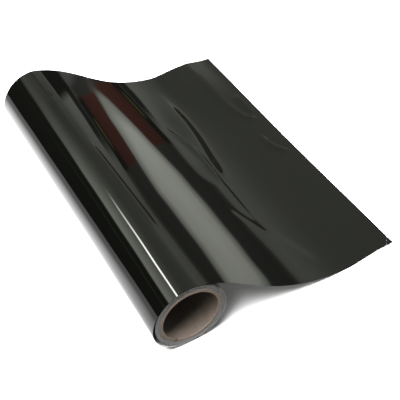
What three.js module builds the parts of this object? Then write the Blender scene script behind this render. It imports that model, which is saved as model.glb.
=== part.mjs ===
// A roll of sign vinyl. A cardboard core carries the web, which is gloss film on a paper liner, wound with the
// film outwards. The last turn is a loose wrap. It leaves the roll at the top, falls in one S-shaped drape to
// the floor and lies flat there, and one corner of the film is lifted from its liner.
// Millimetres, +Z up. The roll's axis lies along Y, and the web is drawn off towards +X. The origin is on the
// floor, under the middle of the whole object.
import * as THREE from "three";

// Driving dimensions. The real web is about 0.25 mm thick. Here each layer is a little thicker, and fewer turns
// fill the same winding.
const WEB_WIDTH = 508;
const CORE_BORE_RADIUS = 38.1;
const CORE_WALL = 4.7;
const CORE_CHAMFER = 0.6;
const LINER_THICKNESS = 0.35;
const FILM_THICKNESS = 0.3;
const TAPE_THICKNESS = 0.3;
const LAYER_GAP = 0.3;
const TURNS = 3;
const SLACK = 2.4; // how far the loose wrap stands off the winding, at its most
const SLACK_CENTRE = degrees(195);
const SLACK_SPAN = degrees(150);
const SEAM_ANGLE = degrees(45); // where the tight winding ends and the loose wrap begins
const LEAVING_ANGLE = degrees(71); // where the web leaves the roll
const TAPE_SPAN = degrees(35);
const FREE_EDGE = 311; // from the roll's axis to the web's free edge, along X
const CORNER = 12; // the lifted corner, along each of its two edges

// The drape is one cubic curve, from the roll to where it touches the floor. Its pulls are the lengths of its
// two handles, along the web.
const TOUCHDOWN = new THREE.Vector2(253, 0);
const PULL_LEAVING = 84;
const PULL_TOUCHDOWN = 145;

const STEPS_PER_TURN = 56;
const DRAPE_STEPS = 32;
const CORE_SEGMENTS = 64;

// Sizes that follow from them.
const CORE_RADIUS = CORE_BORE_RADIUS + CORE_WALL;
const TAPE_RADIUS = CORE_RADIUS + LAYER_GAP;
const FILM_BASE = LINER_THICKNESS + LAYER_GAP; // the film's underside, above the liner's
const WEB_THICKNESS = FILM_BASE + FILM_THICKNESS;
const PITCH = WEB_THICKNESS + LAYER_GAP;
const WINDING_START_RADIUS = TAPE_RADIUS + TAPE_THICKNESS + LAYER_GAP;
const WINDING_RADIUS = WINDING_START_RADIUS + TURNS * PITCH + FILM_BASE + FILM_THICKNESS;
const WRAP_RADIUS = WINDING_RADIUS + LAYER_GAP; // the loose wrap's inner face, where it lies tight
const AXIS_HEIGHT = WRAP_RADIUS + WEB_THICKNESS;

const FILM = { color: 0x0d0e0c, roughness: 0.06, metalness: 0 };
const PAPER = { color: 0xe6e3da, roughness: 0.7, metalness: 0 };
const CARDBOARD = { color: 0x96795d, roughness: 0.9, metalness: 0 };
const TAPE = { color: 0xd8cba4, roughness: 0.5, metalness: 0 };

function degrees(angle) {
  return (angle * Math.PI) / 180;
}

function part(name, geometry, look) {
  const mesh = new THREE.Mesh(geometry, new THREE.MeshStandardMaterial(look));
  mesh.name = name;
  return mesh;
}

// A path is a list of {point, normal} in the plane across the roll, with X and height as its two coordinates.
// Angles are counted from +X up towards the top, and a wound path runs round against them, outwards.
function arcPath(from, to, radiusAt) {
  const steps = Math.ceil((Math.abs(to - from) / (2 * Math.PI)) * STEPS_PER_TURN);
  return Array.from({ length: steps + 1 }, (_, i) => {
    const share = i / steps;
    const angle = from + (to - from) * share;
    const normal = new THREE.Vector2(Math.cos(angle), Math.sin(angle));
    return { point: normal.clone().multiplyScalar(radiusAt(angle, share)), normal };
  });
}

function windingPath() {
  const start = SEAM_ANGLE + TURNS * 2 * Math.PI;
  return arcPath(start, SEAM_ANGLE, (angle, share) => WINDING_START_RADIUS + TURNS * PITCH * share);
}

function slackAt(angle) {
  const share = Math.abs(angle - SLACK_CENTRE) / (SLACK_SPAN / 2);
  return share < 1 ? SLACK * Math.cos((share * Math.PI) / 2) ** 2 : 0;
}

function wrapPath() {
  const end = LEAVING_ANGLE + LAYER_GAP / WRAP_RADIUS;
  return arcPath(SEAM_ANGLE + 2 * Math.PI, end, (angle) => WRAP_RADIUS + slackAt(angle));
}

function drapePath() {
  const outwards = new THREE.Vector2(Math.cos(LEAVING_ANGLE), Math.sin(LEAVING_ANGLE));
  const leaving = outwards.clone().multiplyScalar(WRAP_RADIUS);
  leaving.y += AXIS_HEIGHT;
  const downhill = new THREE.Vector2(outwards.y, -outwards.x);
  const curve = new THREE.CubicBezierCurve(
    leaving,
    leaving.clone().addScaledVector(downhill, PULL_LEAVING),
    new THREE.Vector2(TOUCHDOWN.x - PULL_TOUCHDOWN, TOUCHDOWN.y),
    TOUCHDOWN,
  );
  return Array.from({ length: DRAPE_STEPS + 1 }, (_, i) => {
    const along = curve.getTangent(i / DRAPE_STEPS);
    return { point: curve.getPoint(i / DRAPE_STEPS), normal: new THREE.Vector2(-along.y, along.x) };
  });
}

// One layer of the web: the strip between two distances from a path, as wide as the web.
function layer(name, path, inner, outer, look) {
  const edge = (distance) => path.map(({ point, normal }) => point.clone().addScaledVector(normal, distance));
  const outline = new THREE.Shape([...edge(inner), ...edge(outer).reverse()]);
  return part(name, new THREE.ExtrudeGeometry(outline, { depth: WEB_WIDTH, bevelEnabled: false }), look);
}

function coreTube() {
  const half = WEB_WIDTH / 2;
  const profile = [
    [CORE_BORE_RADIUS, half - CORE_CHAMFER],
    [CORE_BORE_RADIUS, CORE_CHAMFER - half],
    [CORE_BORE_RADIUS + CORE_CHAMFER, -half],
    [CORE_RADIUS, -half],
    [CORE_RADIUS, half],
    [CORE_BORE_RADIUS + CORE_CHAMFER, half],
    [CORE_BORE_RADIUS, half - CORE_CHAMFER],
  ];
  const points = profile.map(([radius, along]) => new THREE.Vector2(radius, along));
  return part("core_tube", new THREE.LatheGeometry(points, CORE_SEGMENTS), CARDBOARD);
}

function startTape() {
  const path = arcPath(SEAM_ANGLE, SEAM_ANGLE - TAPE_SPAN, () => TAPE_RADIUS);
  return layer("start_tape", path, 0, TAPE_THICKNESS, TAPE);
}

// The web's flat end, seen from above. The film's near corner is a piece of its own, cut off at 45 degrees.
function flatFilm(name, corners) {
  const outline = new THREE.Shape(corners.map(([x, y]) => new THREE.Vector2(x, y)));
  const mesh = part(name, new THREE.ExtrudeGeometry(outline, { depth: FILM_THICKNESS, bevelEnabled: false }), FILM);
  mesh.position.z = FILM_BASE;
  return mesh;
}

function flatEnd() {
  const start = TOUCHDOWN.x + LAYER_GAP;
  const near = -WEB_WIDTH / 2;
  const cut = CORNER + LAYER_GAP * Math.SQRT2;
  const liner = part(
    "flat_liner",
    new THREE.BoxGeometry(FREE_EDGE - start, WEB_WIDTH, LINER_THICKNESS),
    PAPER,
  );
  liner.position.set((FREE_EDGE + start) / 2, 0, LINER_THICKNESS / 2);
  const film = flatFilm("flat_film", [
    [start, near],
    [FREE_EDGE - cut, near],
    [FREE_EDGE, near + cut],
    [FREE_EDGE, -near],
    [start, -near],
  ]);
  const corner = flatFilm("film_corner", [
    [FREE_EDGE - CORNER, near],
    [FREE_EDGE, near],
    [FREE_EDGE, near + CORNER],
  ]);
  return [liner, film, corner];
}

const winding = windingPath();
const wrap = wrapPath();
const drape = drapePath();

// Layers are drawn in the XY plane and extruded along Z, so their groups stand them up, with the width along Y.
const aroundAxis = new THREE.Group();
aroundAxis.add(
  startTape(),
  layer("wound_liner", winding, 0, LINER_THICKNESS, PAPER),
  layer("wound_film", winding, FILM_BASE, WEB_THICKNESS, FILM),
  layer("wrap_liner", wrap, 0, LINER_THICKNESS, PAPER),
  layer("wrap_film", wrap, FILM_BASE, WEB_THICKNESS, FILM),
);
aroundAxis.rotation.x = Math.PI / 2;
aroundAxis.position.set(0, WEB_WIDTH / 2, AXIS_HEIGHT);

const overFloor = new THREE.Group();
overFloor.add(
  layer("drape_liner", drape, 0, LINER_THICKNESS, PAPER),
  layer("drape_film", drape, FILM_BASE, WEB_THICKNESS, FILM),
);
overFloor.rotation.x = Math.PI / 2;
overFloor.position.y = WEB_WIDTH / 2;

const core = coreTube();
core.position.z = AXIS_HEIGHT;

const wrapReach = Math.max(...wrap.map(({ point, normal }) => -point.x - normal.x * WEB_THICKNESS));
const roll = new THREE.Group();
roll.add(core, aroundAxis, overFloor, ...flatEnd());
roll.position.x = (wrapReach - FREE_EDGE) / 2;

export default roll;
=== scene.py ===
"""Looks for the roll of sign vinyl: gloss black film on a white liner, wound on a cardboard core."""

import math

import bpy
import bmesh
import numpy as np
from mathutils import Matrix, Vector


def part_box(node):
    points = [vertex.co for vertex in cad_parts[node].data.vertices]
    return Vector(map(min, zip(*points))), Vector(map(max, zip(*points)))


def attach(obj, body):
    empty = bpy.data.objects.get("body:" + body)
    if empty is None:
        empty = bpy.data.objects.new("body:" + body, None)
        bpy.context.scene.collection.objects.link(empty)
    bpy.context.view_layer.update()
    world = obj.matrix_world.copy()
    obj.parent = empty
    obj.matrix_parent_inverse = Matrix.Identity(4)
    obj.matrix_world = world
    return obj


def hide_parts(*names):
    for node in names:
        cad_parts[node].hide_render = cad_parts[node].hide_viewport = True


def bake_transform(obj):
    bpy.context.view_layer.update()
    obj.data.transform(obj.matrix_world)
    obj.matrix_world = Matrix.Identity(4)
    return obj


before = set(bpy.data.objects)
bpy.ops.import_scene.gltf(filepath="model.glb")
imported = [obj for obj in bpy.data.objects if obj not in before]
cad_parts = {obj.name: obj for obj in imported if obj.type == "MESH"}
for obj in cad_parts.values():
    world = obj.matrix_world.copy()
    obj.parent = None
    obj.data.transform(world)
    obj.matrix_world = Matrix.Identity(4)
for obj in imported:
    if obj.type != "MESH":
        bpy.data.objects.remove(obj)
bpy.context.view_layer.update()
MM = 0.001

# Places and sizes that come from the frame
CORE_LOW, CORE_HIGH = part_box("core_tube")
FLAT_LOW, FLAT_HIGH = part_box("flat_liner")
CORNER_LOW, CORNER_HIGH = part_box("film_corner")
AXIS_X = (CORE_LOW.x + CORE_HIGH.x) / 2
AXIS_Z = (CORE_LOW.z + CORE_HIGH.z) / 2
CORE_RADIUS = (CORE_HIGH.z - CORE_LOW.z) / 2
HALF_WIDTH = CORE_HIGH.y
FREE_EDGE_X = FLAT_HIGH.x
TOUCHDOWN_X = FLAT_LOW.x
CORNER_SIZE = CORNER_HIGH.x - CORNER_LOW.x
FILM_TOP = CORNER_HIGH.z  # the film's outer face over the floor, at the free edge
WRAP_RADIUS = AXIS_Z  # the outer face of the loose wrap, which rests on the floor

# The web as it really is
FILM = 0.11 * MM
LINER = 0.15 * MM
ADHESIVE = 0.02 * MM
WEB = LINER + ADHESIVE + FILM

# The web's line: round the roll, over the top and down to the floor. X is counted from the roll's axis.
SEAM_ANGLE = math.radians(45)
LEAVING_ANGLE = math.radians(71)
SLACK = 2.4 * MM  # how far the loose wrap stands off the winding where it is loosest
SLACK_CENTRE = math.radians(200)
SLACK_SPAN = math.radians(134)
TUCK = 0.2 * MM  # how far the wrap's inner end is drawn in
FLARE = 1.1 * MM  # how much more the slack stands off at the near end
FLARE_REACH = 28 * MM
PULL_LEAVING = 84 * MM  # the lengths of the drape's two handles, as a cubic curve
PULL_TOUCHDOWN = 145 * MM
NEAR_EDGE_BOW = 5.5 * MM  # how far the near edge swings out over the drape's foot
NEAR_EDGE_BOW_REACH = 160 * MM
DRAWN_IN = 2.0 * MM  # how far the middle of the free edge is drawn in
LINER_INSET = 0.25 * MM  # the liner's sides and free edge stand this far inside the film's
WRAP_STEPS = 230
DRAPE_STEPS = 190
FLAT_STEPS = 112

# The core
CORE_WALL = 4.7 * MM
BORE_RADIUS = CORE_RADIUS - CORE_WALL
PLIES = 8

# Small folds in the film: points along each (from the axis, from the near end), its height at the first and
# the last point, and its half-width, all in mm.
FOLDS = (
    # on the drape
    ([(152, 384), (158, 352), (168, 318), (171, 286), (170, 200), (169, 108)], (0.6, 0.6), 2.0),
    ([(150, 168), (156, 146), (164, 122), (172, 100)], (0.6, 0.5), 1.8),
    ([(154, 150), (176, 92), (204, 18)], (0.6, 0.4), 7.0),
    ([(188, 480), (190, 400), (188, 352), (184, 316), (177, 270), (172, 215)], (3.0, 3.5), 8.8),
    # at the free edge
    ([(269, 530), (272, 457), (275, 384), (280, 351), (288, 335), (299, 325)], (1.4, 1.0), 2.6),
    ([(279, 294), (282, 264), (288, 247), (298, 233)], (1.1, 0.9), 2.4),
    ([(299, 398), (300, 372), (300, 340)], (1.3, 1.3), 2.8),
    # on top of the roll
    ([(12, 330), (14, 250), (15, 180), (16, 104)], (0.8, 0.8), 1.8),
    ([(3, 530), (4, 470), (6, 416)], (0.8, 0.8), 2.0),
)


def smooth(value, low, high):
    """0 at low, 1 at high, and a smooth step between them."""
    t = np.clip((value - low) / (high - low), 0, 1)
    return t * t * (3 - 2 * t)


def hill(value, centre, width):
    """A rounded bump, 1 at the centre."""
    return np.exp(-(((value - centre) / width) ** 2))


def bezier(p0, p1, p2, p3, steps):
    """Points along a cubic curve."""
    t = np.linspace(0, 1, steps + 1)[:, None]
    p0, p1, p2, p3 = map(np.array, (p0, p1, p2, p3))
    return (1 - t) ** 3 * p0 + 3 * (1 - t) ** 2 * t * p1 + 3 * (1 - t) * t**2 * p2 + t**3 * p3


def catmull(points, steps):
    """A smooth curve through the points."""
    p = np.array(points, float)
    p = np.concatenate([[2 * p[0] - p[1]], p, [2 * p[-1] - p[-2]]])
    t = np.linspace(0, 1, steps, endpoint=False)[:, None]
    runs = []
    for a, b, c, d in zip(p, p[1:], p[2:], p[3:]):
        second = 2 * a - 5 * b + 4 * c - d
        third = 3 * b - a - 3 * c + d
        runs.append(0.5 * (2 * b + (c - a) * t + second * t**2 + third * t**3))
    return np.concatenate(runs + [p[-2:-1]])


# Meshes


def mesh_object(name, vertices, faces, smooth_shading=True):
    """A new object in the scene from points and faces."""
    mesh = bpy.data.meshes.new(name)
    mesh.from_pydata(np.asarray(vertices).tolist(), [], faces)
    mesh.update()
    obj = bpy.data.objects.new(name, mesh)
    bpy.context.scene.collection.objects.link(obj)
    mesh.polygons.foreach_set("use_smooth", [smooth_shading] * len(mesh.polygons))
    return obj


def sharpen(obj, degrees=40):
    """Marks the edges sharper than this angle, so that smooth shading stops at them."""
    edited = bmesh.new()
    edited.from_mesh(obj.data)
    for edge in edited.edges:
        if len(edge.link_faces) == 2 and edge.calc_face_angle(0) > math.radians(degrees):
            edge.smooth = False
    edited.to_mesh(obj.data)
    edited.free()


def face_outwards(obj):
    """Turns every face of a closed mesh outwards."""
    edited = bmesh.new()
    edited.from_mesh(obj.data)
    bmesh.ops.recalc_face_normals(edited, faces=edited.faces)
    edited.to_mesh(obj.data)
    edited.free()


def grid_faces(index, flip=False):
    """Quads over a grid of vertex numbers."""
    a, b, c, d = index[:-1, :-1], index[1:, :-1], index[1:, 1:], index[:-1, 1:]
    corners = (a, d, c, b) if flip else (a, b, c, d)
    return np.stack(corners, -1).reshape(-1, 4).tolist()


def slab(name, top, bottom):
    """A closed thin sheet between two grids of points of the same size."""
    rows, cols = top.shape[:2]
    vertices = np.concatenate([top.reshape(-1, 3), bottom.reshape(-1, 3)])
    index = np.arange(rows * cols).reshape(rows, cols)
    under = index + rows * cols
    faces = grid_faces(index) + grid_faces(under, flip=True)
    rim = [*index[0, :], *index[1:, -1], *index[-1, -2::-1], *index[-2:0:-1, 0]]
    for a, b in zip(rim, rim[1:] + rim[:1]):
        faces.append([int(b), int(a), int(a + rows * cols), int(b + rows * cols)])
    obj = mesh_object(name, vertices, faces)
    face_outwards(obj)
    sharpen(obj)
    return obj


# The web


def slack_share(turn):
    """How loose the wrap is at an angle round the roll, 0 to 1."""
    away = np.abs(turn - SLACK_CENTRE) / (SLACK_SPAN / 2)
    return np.cos(np.minimum(away, 1) * math.pi / 2) ** 2


def web_line():
    """Points (x, z) on the film's outer face and their normals, from the inner end to the free edge."""
    inner_end = SEAM_ANGLE + 2 * math.pi
    turn = np.linspace(inner_end, LEAVING_ANGLE, WRAP_STEPS)
    tuck = TUCK * smooth(turn, inner_end - 1.2, inner_end)
    radius = WRAP_RADIUS + SLACK * slack_share(turn) - tuck
    wrap = np.stack([AXIS_X + radius * np.cos(turn), AXIS_Z + radius * np.sin(turn)], 1)
    leaving = wrap[-1]
    downhill = np.array([math.sin(LEAVING_ANGLE), -math.cos(LEAVING_ANGLE)])
    down = np.array([TOUCHDOWN_X, WEB])
    handles = leaving + PULL_LEAVING * downhill, down - np.array([PULL_TOUCHDOWN, 0])
    drape = bezier(leaving, *handles, down, DRAPE_STEPS)
    flat_x = np.linspace(TOUCHDOWN_X, FREE_EDGE_X, FLAT_STEPS)
    flat_z = WEB + (FILM_TOP - WEB) * smooth(flat_x, TOUCHDOWN_X, FREE_EDGE_X - CORNER_SIZE)
    flat = np.stack([flat_x, flat_z], 1)
    points = np.concatenate([wrap, drape[1:], flat[1:]])
    along = np.gradient(points, axis=0)
    along /= np.linalg.norm(along, axis=1)[:, None]
    normals = np.stack([-along[:, 1], along[:, 0]], 1)
    return points, normals, len(wrap)


GENTLE = 3.0  # a fold's slope towards the roll is this many times wider than its slope away from it


def near_fold(x, y, points, heights, half_width):
    """A small ridge along a curve, fading out at its ends, steeper on the side away from the roll. In mm."""
    curve = catmull(points, 40)
    tangents = np.gradient(curve, axis=0)
    nearest = np.full(x.shape, np.inf)
    height = np.zeros(x.shape)
    side = np.zeros(x.shape)
    for (cx, cy), (tx, ty), share in zip(curve, tangents, np.linspace(0, 1, len(curve))):
        distance = (x - cx) ** 2 + (y - cy) ** 2
        closer = distance < nearest
        nearest = np.where(closer, distance, nearest)
        fade = smooth(share, 0, 0.28) * (1 - smooth(share, 0.82, 1))
        height = np.where(closer, fade * (heights[0] + (heights[1] - heights[0]) * share), height)
        side = np.where(closer, tx * (y - cy) - ty * (x - cx), side)
    width = half_width * np.where(side < 0, GENTLE, 1.0)
    return height * np.exp(-nearest / width**2)


def undulation(x, y):
    """How far the web stands off its own line: the ripple at the far end and slight waves everywhere."""
    from_axis = (x - AXIS_X) / MM
    from_near = (y + HALF_WIDTH) / MM
    from_far = (HALF_WIDTH - y) / MM
    ripple = 7.0 * smooth(from_axis, 195, 250) * (1 - smooth(from_axis, 262, 306))
    height = ripple * hill(from_far, 0, 110)
    near_lift = 0.2 * hill(from_axis, 28, 16) * np.exp(-from_near / 45)
    near_sag = 1.2 * hill(from_axis, 85, 34) * np.exp(-from_near / 40)
    belly = 0.32 * hill(from_axis, 105, 18) * smooth(from_near, 0, 60) * (1 - smooth(from_near, 340, 420))
    height = height + near_lift - near_sag - belly
    height = height + 0.05 * np.sin(from_near / 33 + 1.1) * np.sin(from_axis / 21 + 0.4)
    height = height + 0.03 * np.sin(from_near / 14 + from_axis / 37)
    calm_corner = smooth(from_axis, 275, 297) * (1 - smooth(from_near, 14, 34))
    return height * (1 - calm_corner) * MM


def folds(x, y):
    """How far the small folds stand out."""
    from_axis = (x - AXIS_X) / MM
    from_near = (y + HALF_WIDTH) / MM
    height = np.zeros(x.shape)
    for points, heights, half_width in FOLDS:
        xs, ys = zip(*points)
        reach = 3 * GENTLE * half_width
        inside = (from_axis > min(xs) - reach) & (from_axis < max(xs) + reach)
        inside &= (from_near > min(ys) - reach) & (from_near < max(ys) + reach)
        if inside.any():
            height[inside] += near_fold(from_axis[inside], from_near[inside], points, heights, half_width)
    return height * MM


def cross_places(inset=0.0):
    """Places across the web, closer together where the folds at the free edge run."""
    width = 2 * HALF_WIDTH / MM
    runs = np.linspace(0, 215, 80), np.linspace(215, 400, 150)[1:], np.linspace(400, width, 42)[1:]
    share = np.concatenate(runs) / width
    return (2 * share - 1) * (HALF_WIDTH - inset)


def web_grids(line, cross, depth, thickness):
    """Grids of points on a layer's two faces. depth is its outer face's place under the film's outer face."""
    points, normals, wrap_end = line
    y = cross[None, :]
    x0, z0 = points[:, :1], points[:, 1:]
    nx, nz = normals[:, :1], normals[:, 1:]
    every_x, every_y = x0 + 0 * y, y + 0 * x0
    station = np.arange(len(points))[:, None] / len(points)
    leaves = wrap_end / len(points)
    on_drape = smooth(station, leaves - 0.01, leaves + 0.06)
    over_top = smooth(station, leaves - 0.1, leaves - 0.06)
    angle = np.arctan2(z0 - AXIS_Z, x0 - AXIS_X)

    loose = slack_share(np.mod(angle, 2 * math.pi)) * (1 - on_drape)
    flare = FLARE * loose * np.exp(-(y + HALF_WIDTH) / FLARE_REACH)
    wobble = 0.02 * MM * np.sin(y / (17 * MM) + 3 * angle) * (1 - on_drape)
    height = undulation(every_x, every_y) * on_drape + folds(every_x, every_y) * over_top + flare + wobble

    middle = np.cos(math.pi * y / (2 * HALF_WIDTH)) ** 2
    drawn_in = DRAWN_IN * middle * smooth(x0, FREE_EDGE_X - 30 * MM, FREE_EDGE_X)
    over_foot = smooth(x0, AXIS_X + 60 * MM, AXIS_X + 210 * MM) * smooth(station, leaves, leaves + 0.1)
    over_foot = over_foot * (1 - smooth(x0, AXIS_X + 225 * MM, FREE_EDGE_X - CORNER_SIZE))
    swing = -NEAR_EDGE_BOW * over_foot * np.exp(-(y + HALF_WIDTH) / NEAR_EDGE_BOW_REACH)
    faces = []
    for under in (depth, depth + thickness):
        px = x0 + nx * (height - under) - drawn_in
        pz = np.maximum(z0 + nz * (height - under), WEB - under)
        faces.append(np.stack([px, y + swing, pz], 2))
    return faces


def film_web():
    """The film of the loose wrap, the drape and the flat end. Its near corner is cut off at 45 degrees."""
    top, bottom = web_grids(web_line(), cross_places(), 0, FILM)
    start = FREE_EDGE_X - 3 * CORNER_SIZE
    for grid in (top, bottom):
        from_side = grid[..., 1] + HALF_WIDTH
        cut_x = FREE_EDGE_X - CORNER_SIZE + from_side
        near_corner = (from_side < CORNER_SIZE) & (grid[..., 0] > start)
        squeeze = (cut_x - start) / (FREE_EDGE_X - start)
        grid[..., 0] = np.where(near_corner, start + (grid[..., 0] - start) * squeeze, grid[..., 0])
    return slab("film_web", top, bottom)


def liner_web():
    """The liner under the film, set in a little at its sides and free edge."""
    top, bottom = web_grids(web_line(), cross_places(LINER_INSET), FILM + ADHESIVE, LINER)
    for grid in (top, bottom):
        grid[..., 0] -= LINER_INSET * smooth(grid[..., 0], FREE_EDGE_X - 20 * MM, FREE_EDGE_X - 5 * MM)
    return slab("liner_web", top, bottom)


def corner_piece():
    """The film's near corner, curled up a little from its liner."""
    steps = 14
    gap = 0.06 * MM  # at the fold line
    grids = []
    for depth in (0, FILM):
        grid = np.zeros((steps + 1, steps + 1, 3))
        for i in range(steps + 1):
            out = i / steps  # from the fold line to the tip
            fold_shift = (CORNER_SIZE / 2 - gap) * (1 - out)
            pull_in = 0.4 * MM * out**2
            curl = 1.7 * MM * out**2
            for j in range(steps + 1):
                side = (j / steps - 0.5) * (1 - 0.985 * out) * CORNER_SIZE
                grid[i, j] = (
                    FREE_EDGE_X - fold_shift + side - pull_in,
                    -HALF_WIDTH + fold_shift + side + pull_in,
                    FILM_TOP - depth + curl,
                )
        grids.append(grid)
    return slab("film_corner_tip", grids[0], grids[1])


# The roll


def core_board():
    """The board tube, wound from plies whose edges show as fine rings on its ends."""
    ply = CORE_WALL / PLIES
    chamfer = 0.5 * MM
    crumple = (0.5, 0.12, 0.3, 0.05, 0.22, 0.1, 0.28, 0.12, 0.4)  # how worn the joint between two plies is
    profile = [(BORE_RADIUS, HALF_WIDTH - 0.7 * MM)]
    for n in range(PLIES):
        inner = BORE_RADIUS + n * ply
        profile.append((inner + 0.18 * ply, HALF_WIDTH - crumple[n] * chamfer))
        profile.append((inner + 0.5 * ply, HALF_WIDTH - 0.04 * MM))
        profile.append((inner + 0.82 * ply, HALF_WIDTH - crumple[n + 1] * chamfer))
    profile.append((CORE_RADIUS, HALF_WIDTH - chamfer))
    around = 128
    loop = profile + [(r, -y) for r, y in reversed(profile)]
    turn = np.linspace(0, 2 * math.pi, around, endpoint=False)
    vertices = []
    for n, (radius, y) in enumerate(loop):
        at_end = abs(y) > HALF_WIDTH - 0.3 * MM
        ragged = 0.06 * MM * np.sin(turn * (9 + n % 5) + 2.1 * n) if at_end else 0 * turn
        edge = y - np.sign(y) * np.abs(ragged)
        ring = np.stack([AXIS_X + radius * np.cos(turn), edge, AXIS_Z + radius * np.sin(turn)], 1)
        vertices.extend(ring.tolist())
    index = np.arange(len(loop) * around).reshape(len(loop), around)
    index = np.vstack([index, index[:1]])
    index = np.hstack([index, index[:, :1]])
    obj = mesh_object("core_board", vertices, grid_faces(index, flip=True))
    face_outwards(obj)
    sharpen(obj, 30)
    return obj


TURNS = 22
WINDING_INNER = CORE_RADIUS + 0.35 * MM
WINDING_OUTER = WRAP_RADIUS - WEB - TUCK - 0.1 * MM
PITCH = (WINDING_OUTER - WINDING_INNER) / (TURNS + 1)
WOUND_LINER = 0.15 * MM  # thickness
WOUND_FILM = 0.08 * MM
WOUND_FILM_START = 0.16 * MM  # how far out from the liner's inner face the film's inner face lies


def winding(name, start, thickness):
    """One layer of the tight winding, a spiral strip. Its turns stand in and out a little at the ends."""
    steps_per_turn = 72
    share = np.linspace(0, 1, TURNS * steps_per_turn + 1)
    turn = SEAM_ANGLE + 2 * math.pi * TURNS * (1 - share)
    base = WINDING_INNER + PITCH * TURNS * share + start
    uneven = 0.08 * np.sin(share * TURNS * 1.9 + 0.5) + 0.12 * np.sin(share * TURNS * 0.55)
    shift = (uneven - 0.2) * MM
    across = np.array([-1.0, -0.995, 0, 0.995, 1.0])
    grids = []
    for radius in (base + thickness, base):
        x = AXIS_X + radius * np.cos(turn)
        z = AXIS_Z + radius * np.sin(turn)
        y = across[None, :] * (HALF_WIDTH + shift[:, None])
        grids.append(np.stack([x[:, None] + 0 * y, y, z[:, None] + 0 * y], 2))
    return slab(name, grids[0], grids[1])


def start_strip():
    """The paper tape that holds the web's inner end to the core."""
    steps = 24
    side_inset = 1.5 * MM
    turn = np.linspace(SEAM_ANGLE, SEAM_ANGLE - math.radians(35), steps)
    across = np.linspace(-HALF_WIDTH + side_inset, HALF_WIDTH - side_inset, 60)
    ragged = 0.004 * np.sin(across / (2.3 * MM))
    ends = turn[:, None] + ragged[None, :] * np.linspace(-1, 1, steps)[:, None]
    grids = []
    for radius in (CORE_RADIUS + 0.22 * MM, CORE_RADIUS + 0.08 * MM):
        x = AXIS_X + radius * np.cos(ends)
        z = AXIS_Z + radius * np.sin(ends)
        grids.append(np.stack([x, across[None, :] + 0 * x, z], 2))
    return slab("start_strip", grids[0], grids[1])


# Materials


class Nodes:
    """A material's node tree, with short calls for the nodes that these materials share."""

    def __init__(self, name, base, roughness):
        self.material = bpy.data.materials.new(name)
        self.material.use_nodes = True
        self.tree = self.material.node_tree
        self.shader = self.tree.nodes["Principled BSDF"]
        self.shader.inputs["Base Color"].default_value = (*base, 1)
        self.shader.inputs["Roughness"].default_value = roughness
        self.place = self.tree.nodes.new("ShaderNodeTexCoord").outputs["Object"]

    def link(self, source, target):
        self.tree.links.new(source, target)

    def math(self, operation, a, b=0.0, c=0.0):
        """The result of a sum. a, b and c are numbers or other nodes' results."""
        node = self.tree.nodes.new("ShaderNodeMath")
        node.operation = operation
        for socket, value in zip(node.inputs, (a, b, c)):
            if isinstance(value, (int, float)):
                socket.default_value = value
            else:
                self.link(value, socket)
        return node.outputs[0]

    def noise(self, scale, detail=2.0, stretch=(1, 1, 1)):
        """Noise over the piece, scale lumps to a metre."""
        mapping = self.tree.nodes.new("ShaderNodeMapping")
        mapping.inputs["Scale"].default_value = stretch
        self.link(self.place, mapping.inputs["Vector"])
        node = self.tree.nodes.new("ShaderNodeTexNoise")
        node.inputs["Scale"].default_value = scale
        node.inputs["Detail"].default_value = detail
        self.link(mapping.outputs[0], node.inputs["Vector"])
        return node.outputs["Fac"]

    def ramp(self, value, stops):
        """A colour for each value, from stops (value, colour)."""
        node = self.tree.nodes.new("ShaderNodeValToRGB")
        elements = node.color_ramp.elements
        while len(elements) > 1:
            elements.remove(elements[-1])
        for n, (position, colour) in enumerate(stops):
            element = elements[0] if n == 0 else elements.new(position)
            element.position = position
            element.color = (*colour, 1)
        self.link(value, node.inputs[0])
        return node.outputs[0]

    def blend(self, factor, a, b):
        """From a at factor 0 to b at factor 1. a and b are colours or other nodes' results."""
        node = self.tree.nodes.new("ShaderNodeMix")
        node.data_type = "RGBA"
        share, colour_a, colour_b = node.inputs[0], node.inputs[6], node.inputs[7]
        self.link(factor, share)
        for socket, value in ((colour_a, a), (colour_b, b)):
            if isinstance(value, tuple):
                socket.default_value = (*value, 1)
            else:
                self.link(value, socket)
        return node.outputs[2]

    def step(self, value, low, high):
        """0 below low, 1 above high, and a smooth step between them."""
        node = self.tree.nodes.new("ShaderNodeMapRange")
        node.interpolation_type = "SMOOTHSTEP"
        for socket, level in zip(node.inputs[1:5], (low, high, 0, 1)):
            socket.default_value = level
        self.link(value, node.inputs[0])
        return node.outputs[0]

    def bump(self, height, distance, strength=1.0):
        node = self.tree.nodes.new("ShaderNodeBump")
        node.inputs["Strength"].default_value = strength
        node.inputs["Distance"].default_value = distance
        self.link(height, node.inputs["Height"])
        self.link(node.outputs[0], self.shader.inputs["Normal"])

    def round_axis(self):
        """Distance from the roll's axis, the place along it and the angle round it."""
        split = self.tree.nodes.new("ShaderNodeSeparateXYZ")
        self.link(self.place, split.inputs[0])
        across = self.math("SUBTRACT", split.outputs["X"], AXIS_X)
        up = self.math("SUBTRACT", split.outputs["Z"], AXIS_Z)
        squares = self.math("ADD", self.math("MULTIPLY", across, across), self.math("MULTIPLY", up, up))
        return self.math("SQRT", squares), split.outputs["Y"], self.math("ARCTAN2", up, across)


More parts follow.
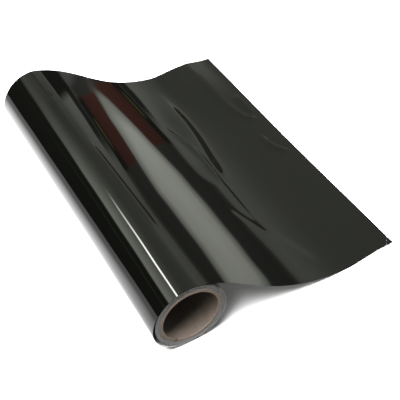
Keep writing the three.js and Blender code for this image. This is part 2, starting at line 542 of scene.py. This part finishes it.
def film_finish():
    """Gloss black vinyl: a clear smooth skin with the faintest orange peel."""
    nodes = Nodes("gloss_black_film", (0.0005, 0.0006, 0.0004), 0.045)
    nodes.shader.inputs["IOR"].default_value = 1.5
    peel = nodes.noise(420, 2)
    long_waves = nodes.noise(26, 1, (1, 0.25, 1))
    height = nodes.math("MULTIPLY_ADD", long_waves, 6.0, peel)
    nodes.bump(height, 0.006 * MM, 0.6)
    dust = nodes.noise(900, 1)
    rough = nodes.math("MULTIPLY_ADD", dust, 0.02, 0.02)
    nodes.link(rough, nodes.shader.inputs["Roughness"])
    return nodes.material


def liner_finish(name, level):
    """Coated release paper. Wound tight it is given a much darker level, painted shade between the turns of
    black film.
    """
    nodes = Nodes(name, (level, level, 0.96 * level), 0.45)
    fibres = nodes.noise(600, 4, (1, 0.4, 1))
    dim, bright = 0.92 * level, 1.08 * level
    tint = nodes.ramp(fibres, [(0.3, (dim, dim, 0.96 * dim)), (0.7, (bright, bright, 0.96 * bright))])
    nodes.link(tint, nodes.shader.inputs["Base Color"])
    nodes.bump(fibres, 0.02 * MM, 0.4)
    nodes.shader.inputs["Specular IOR Level"].default_value = 0.15
    return nodes.material


def board_finish():
    """Grey-brown board, with painted shade darkening the bore, where a dark seam winds along it. Plies show
    as rings on the ends.
    """
    nodes = Nodes("grey_board", (0.21, 0.172, 0.14), 0.9)
    radius, along, angle = nodes.round_axis()
    ply = CORE_WALL / PLIES
    rings = nodes.math("SINE", nodes.math("MULTIPLY", radius, 2 * math.pi / ply))
    fibres = nodes.noise(700, 5, (1, 0.5, 1))
    blotches = nodes.noise(60, 3)
    mixed = nodes.math("MULTIPLY_ADD", rings, 0.1, nodes.math("MULTIPLY_ADD", blotches, 0.5, fibres))
    tint = nodes.ramp(
        nodes.math("MULTIPLY", mixed, 0.66),
        [(0.3, (0.15, 0.122, 0.098)), (0.5, (0.21, 0.172, 0.14)), (0.72, (0.27, 0.226, 0.187))],
    )
    turns = nodes.math("DIVIDE", angle, 2 * math.pi)
    seam_pitch = 118 * MM
    seam = nodes.math("FRACT", nodes.math("MULTIPLY_ADD", along, 1 / seam_pitch, turns))
    line = nodes.math("LESS_THAN", nodes.math("ABSOLUTE", nodes.math("SUBTRACT", seam, 0.5)), 0.006)
    # Painted shade: the bore's wall is blended towards the near-black colour below, as is the dark seam line.
    bore_painted_shade = nodes.math("LESS_THAN", radius, BORE_RADIUS + 0.05 * MM)
    share = nodes.math("MAXIMUM", nodes.math("MULTIPLY", line, 0.8), nodes.math("MULTIPLY", bore_painted_shade, 0.62))
    seam_and_bore_shade = nodes.blend(share, tint, (0.045, 0.036, 0.03))
    nodes.link(seam_and_bore_shade, nodes.shader.inputs["Base Color"])
    height = nodes.math("SUBTRACT", fibres, line)
    nodes.shader.inputs["Specular IOR Level"].default_value = 0.15
    nodes.bump(height, 0.12 * MM, 0.7)
    return nodes.material


def tape_finish():
    """Creped masking tape."""
    nodes = Nodes("paper_tape", (0.66, 0.56, 0.36), 0.6)
    crepe = nodes.noise(500, 3, (1, 0.15, 1))
    tint = nodes.ramp(crepe, [(0.3, (0.58, 0.48, 0.3)), (0.7, (0.72, 0.62, 0.42))])
    nodes.link(tint, nodes.shader.inputs["Base Color"])
    nodes.bump(crepe, 0.05 * MM, 0.8)
    return nodes.material


def plain_white(name, level):
    nodes = Nodes(name, (level, level, level), 0.95)
    nodes.shader.inputs["Specular IOR Level"].default_value = 0
    return nodes.material


# Pieces
FILM_LOOK = film_finish()
LINER_LOOK = liner_finish("liner_paper", 0.72)
# The wound liner's paper is painted darker than the drape's (0.3 against 0.72): painted shade between the
# turns.
WOUND_LINER_SHADE_LOOK = liner_finish("wound_liner_paper_painted_shade", 0.3)
BOARD_LOOK = board_finish()
TAPE_LOOK = tape_finish()


def fit_out(piece, look, slot, *nodes):
    piece.data.materials.append(look)
    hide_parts(*nodes)


def make_web():
    film, liner = film_web(), liner_web()
    fit_out(film, FILM_LOOK, "vinyl_film", "wrap_film", "drape_film", "flat_film")
    fit_out(liner, LINER_LOOK, "liner_paper", "wrap_liner", "drape_liner", "flat_liner")
    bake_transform(film)
    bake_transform(liner)
    points = web_line()[0]
    corner = corner_piece()
    fit_out(corner, FILM_LOOK, "vinyl_film", "film_corner")
    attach(corner, "corner")


def make_roll():
    for piece, look, slot, node in (
        (core_board(), BOARD_LOOK, "cardboard", "core_tube"),
        (winding("winding_liner", 0, WOUND_LINER), WOUND_LINER_SHADE_LOOK, "liner_paper", "wound_liner"),
        (winding("winding_film", WOUND_FILM_START, WOUND_FILM), FILM_LOOK, "vinyl_film", "wound_film"),
        (start_strip(), TAPE_LOOK, "tape", "start_tape"),
    ):
        fit_out(piece, look, slot, node)
        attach(piece, "roll")


make_roll()
make_web()


# Camera
CAMERA_AZIMUTH = math.radians(-26.325)
CAMERA_ELEVATION = math.radians(44.613)
CAMERA_ROLL = math.radians(-4.314)
CAMERA_DISTANCE = 1.1144
CAMERA_RIGHT = 0.0081
CAMERA_UP = 0.1758
CAMERA_LENS = 80.126


def make_camera():
    """Aimed from the floor under the roll's near end, then moved over to frame the whole object."""
    flat = math.cos(CAMERA_ELEVATION)
    back = Vector(
        (
            math.sin(CAMERA_AZIMUTH) * flat,
            -math.cos(CAMERA_AZIMUTH) * flat,
            math.sin(CAMERA_ELEVATION),
        )
    )
    level = Vector((math.cos(CAMERA_AZIMUTH), math.sin(CAMERA_AZIMUTH), 0))
    upright = back.cross(level)
    right = level * math.cos(CAMERA_ROLL) + upright * math.sin(CAMERA_ROLL)
    up = upright * math.cos(CAMERA_ROLL) - level * math.sin(CAMERA_ROLL)
    near_end = Vector((AXIS_X, -HALF_WIDTH, 0))
    spot = near_end + back * CAMERA_DISTANCE + right * CAMERA_RIGHT + up * CAMERA_UP
    lens = bpy.data.cameras.new("camera")
    lens.lens = CAMERA_LENS
    lens.clip_start = 0.05
    lens.clip_end = 50
    camera = bpy.data.objects.new("camera", lens)
    turned = Matrix((right, up, back)).transposed()
    camera.matrix_world = Matrix.Translation(spot) @ turned.to_4x4()
    bpy.context.scene.collection.objects.link(camera)
    bpy.context.scene.camera = camera


# Stage


def floor_plane(name, x0, x1, y0, y1, look):
    z = -0.1 * MM
    obj = mesh_object(name, [(x0, y0, z), (x1, y0, z), (x1, y1, z), (x0, y1, z)], [(0, 1, 2, 3)], False)
    obj.data.materials.append(look)
    return obj


def table_glow():
    """Light from the table top. It is dimmer towards the near side and away from the roll."""
    nodes = Nodes("table_glow", (0, 0, 0), 1)
    split = nodes.tree.nodes.new("ShaderNodeSeparateXYZ")
    nodes.link(nodes.place, split.inputs[0])
    near_light, far_light = 1.1, 2.6
    towards_far = nodes.step(split.outputs["Y"], -0.28, 0.02)
    light = nodes.math("MULTIPLY_ADD", towards_far, far_light - near_light, near_light)
    share_at_edge, share_at_roll = 0.38, 1.3
    towards_roll = nodes.step(split.outputs["X"], AXIS_X - 0.3, AXIS_X - 0.09)
    share = nodes.math("MULTIPLY_ADD", towards_roll, share_at_roll - share_at_edge, share_at_edge)
    nodes.shader.inputs["Specular IOR Level"].default_value = 0
    nodes.shader.inputs["Emission Color"].default_value = (1, 1, 1, 1)
    nodes.link(nodes.math("MULTIPLY", light, share), nodes.shader.inputs["Emission Strength"])
    return nodes.material


FLOOR_REACH = 3.0  # from the middle of the frame
TABLE_LEFT = 0.95  # from the roll's axis to the table's left edge
TABLE_NEAR, TABLE_FAR = -1.2, 2.6


def make_floor():
    """The floor that is seen, and the bright table top that only shows in the gloss."""
    reach = FLOOR_REACH
    floor = floor_plane("floor", -reach, reach, -reach, reach, plain_white("floor", 0.7))
    floor.visible_diffuse = False
    floor.visible_glossy = False
    left = AXIS_X - TABLE_LEFT
    table = floor_plane("table_in_the_gloss", left, AXIS_X, TABLE_NEAR, TABLE_FAR, table_glow())
    table.visible_camera = False
    table.visible_diffuse = False
    table.visible_shadow = False
    table.visible_transmission = False


class Sky(Nodes):
    """The studio's light as a function of direction. Only the gloss sees its pattern."""

    MOST = 24.0  # the highest light level
    PLAIN = 0.3  # the even light that falls on everything
    TINT = (0.99, 1.03, 0.9)  # the room's light is a little green

    def __init__(self):
        world = bpy.data.worlds.new("studio")
        bpy.context.scene.world = world
        world.use_nodes = True
        self.tree = world.node_tree
        self.tree.nodes.clear()
        place = self.tree.nodes.new("ShaderNodeTexCoord").outputs["Generated"]
        split = self.tree.nodes.new("ShaderNodeSeparateXYZ")
        self.link(place, split.inputs[0])
        turn = self.math("ARCTAN2", split.outputs["Z"], split.outputs["X"])
        degrees = self.math("MULTIPLY", turn, 180 / math.pi)
        self.angle = self.math("WRAP", degrees, 270.0, -90.0)  # round the roll's axis, in degrees from +X
        self.away = split.outputs["Y"]  # how much the direction looks towards the far end

    def level(self, red, green, blue):
        """A light level as a colour that a node can hold, up to 1."""
        return red / self.MOST, green / self.MOST, blue / self.MOST

    def levels(self, angle, stops):
        """A level for each angle, from stops (degrees, level)."""
        low, span = -120, 400  # degrees
        share = self.math("MULTIPLY_ADD", angle, 1 / span, -low / span)
        colours = [self.level(*(light * tint for tint in self.TINT)) for _, light in stops]
        return self.ramp(share, [((stop[0] - low) / span, colour) for stop, colour in zip(stops, colours)])

    def fade(self, start, end):
        """1 for directions that look less far than start, down to 0 at end."""
        return self.math("SUBTRACT", 1.0, self.step(self.away, start, end))

    def window(self, value, low, high, soft):
        """1 between low and high, 0 outside them, with soft ends."""
        rise = self.step(value, low - soft, low + soft)
        fall = self.step(value, high - soft, high + soft)
        return self.math("SUBTRACT", rise, fall)


def make_sky():
    sky = Sky()
    # The left side of the room is dark above the table, up to the edge of the light over it.
    lean = sky.math("MULTIPLY_ADD", sky.away, 106.0, -61.7)
    upper_angle = sky.math("ADD", sky.angle, lean)
    near_room = [(56, 0.52), (70, 0.48), (86, 0.5), (100, 0.85), (112, 1.3), (124, 2.0), (134, 2.6)]
    near_dark = [(137, 2.4), (140, 0.1), (143, 0.06), (154, 0.06), (156, 0.3), (158, 0.06), (198, 0.05)]
    far_room = [(56, 0.45), (86, 0.35), (100, 0.32), (116, 0.6), (127, 0.7)]
    far_dark = [(135, 0.45), (138, 0.08), (198, 0.05)]
    upper = sky.blend(
        sky.step(sky.away, 0.66, 0.8),
        sky.levels(upper_angle, near_room + near_dark),
        sky.levels(upper_angle, far_room + far_dark),
    )

    # The right side: dark under the web, then the floor beyond the free edge, a dark band and soft light.
    past = sky.math("MINIMUM", sky.math("MAXIMUM", sky.math("SUBTRACT", sky.away, 0.665), 0.0), 0.11)
    lower_angle = sky.math("ADD", sky.angle, sky.math("MULTIPLY", past, 124.0))
    under_web = [(-90, 0.08), (-26, 0.12), (-14, 1.3)]
    floor = [(-6, 1.32), (-1.5, 1.36), (0, 1.15), (2, 0.9), (4.2, 0.66)]
    dark_band = [(5.2, 0.11), (12, 0.12), (20, 0.12), (24, 0.2)]
    soft_light = [(27, 0.58), (34, 0.74), (40, 0.72), (45, 0.62), (52, 0.52), (60, 0.5)]
    lower = sky.levels(lower_angle, under_web + floor + dark_band + soft_light)

    # Things that stand in and beside the dark band at the far end. Each is over a window of angles, where it
    # shows along the roll, and its light level.
    in_band = sky.window(lower_angle, 4.6, 24.0, 0.8)
    at_far = sky.window(sky.away, 0.695, 0.759, 0.003)
    at_post = sky.window(sky.away, 0.718, 0.742, 0.005)
    for angles, along, light in (
        (in_band, at_far, (0.2, 0.075, 0.06)),
        (sky.window(lower_angle, 18.6, 25.0, 0.5), at_far, (0.05, 0.05, 0.045)),
        (sky.window(lower_angle, 20.2, 22.4, 0.6), at_post, (0.24, 0.25, 0.1)),
        (sky.window(lower_angle, 25.5, 32.0, 1.0), sky.step(sky.away, 0.7, 0.735), (0.08, 0.08, 0.075)),
        (sky.window(lower_angle, 25.5, 46.0, 1.0), sky.step(sky.away, 0.762, 0.772), (0.05, 0.05, 0.045)),
        (in_band, sky.step(sky.away, 0.77, 0.778), (0.36, 0.37, 0.34)),
    ):
        lower = sky.blend(sky.math("MULTIPLY", angles, along), lower, sky.level(*light))
    room = sky.blend(sky.step(sky.angle, 57, 61), lower, upper)

    # A tube light shows as a thin line along the top of the roll, towards the near end.
    tube = sky.math("MULTIPLY", sky.window(upper_angle, 105.8, 110.0, 0.8), sky.fade(0.62, 0.7))
    tube = sky.math("MULTIPLY", tube, sky.step(sky.away, 0.5, 0.55))
    room = sky.blend(tube, room, sky.level(24.0, 24.0, 23.4))

    seen = sky.tree.nodes.new("ShaderNodeBackground")
    seen.inputs["Strength"].default_value = sky.MOST
    sky.link(room, seen.inputs["Color"])
    soft = sky.tree.nodes.new("ShaderNodeBackground")
    soft.inputs["Color"].default_value = (1, 1, 1, 1)
    soft.inputs["Strength"].default_value = sky.PLAIN
    path = sky.tree.nodes.new("ShaderNodeLightPath")
    mix = sky.tree.nodes.new("ShaderNodeMixShader")
    out = sky.tree.nodes.new("ShaderNodeOutputWorld")
    sky.link(path.outputs["Is Glossy Ray"], mix.inputs[0])
    sky.link(soft.outputs[0], mix.inputs[1])
    sky.link(seen.outputs[0], mix.inputs[2])
    sky.link(mix.outputs[0], out.inputs[0])


def area_light(name, spot, aim, size, power):
    """A square lamp at spot, facing aim. The gloss doesn't show it."""
    data = bpy.data.lights.new(name, "AREA")
    data.shape = "SQUARE"
    data.size = size
    data.energy = power
    light = bpy.data.objects.new(name, data)
    light.location = spot
    light.rotation_mode = "QUATERNION"
    light.rotation_quaternion = (Vector(aim) - Vector(spot)).to_track_quat("-Z", "Y")
    light.visible_glossy = False
    bpy.context.scene.collection.objects.link(light)


make_camera()
make_floor()
make_sky()
area_light("overhead", spot=(-0.5, -0.15, 1.5), aim=(0, 0, 0), size=1.2, power=160)
bpy.context.scene.view_settings.view_transform = "Standard"
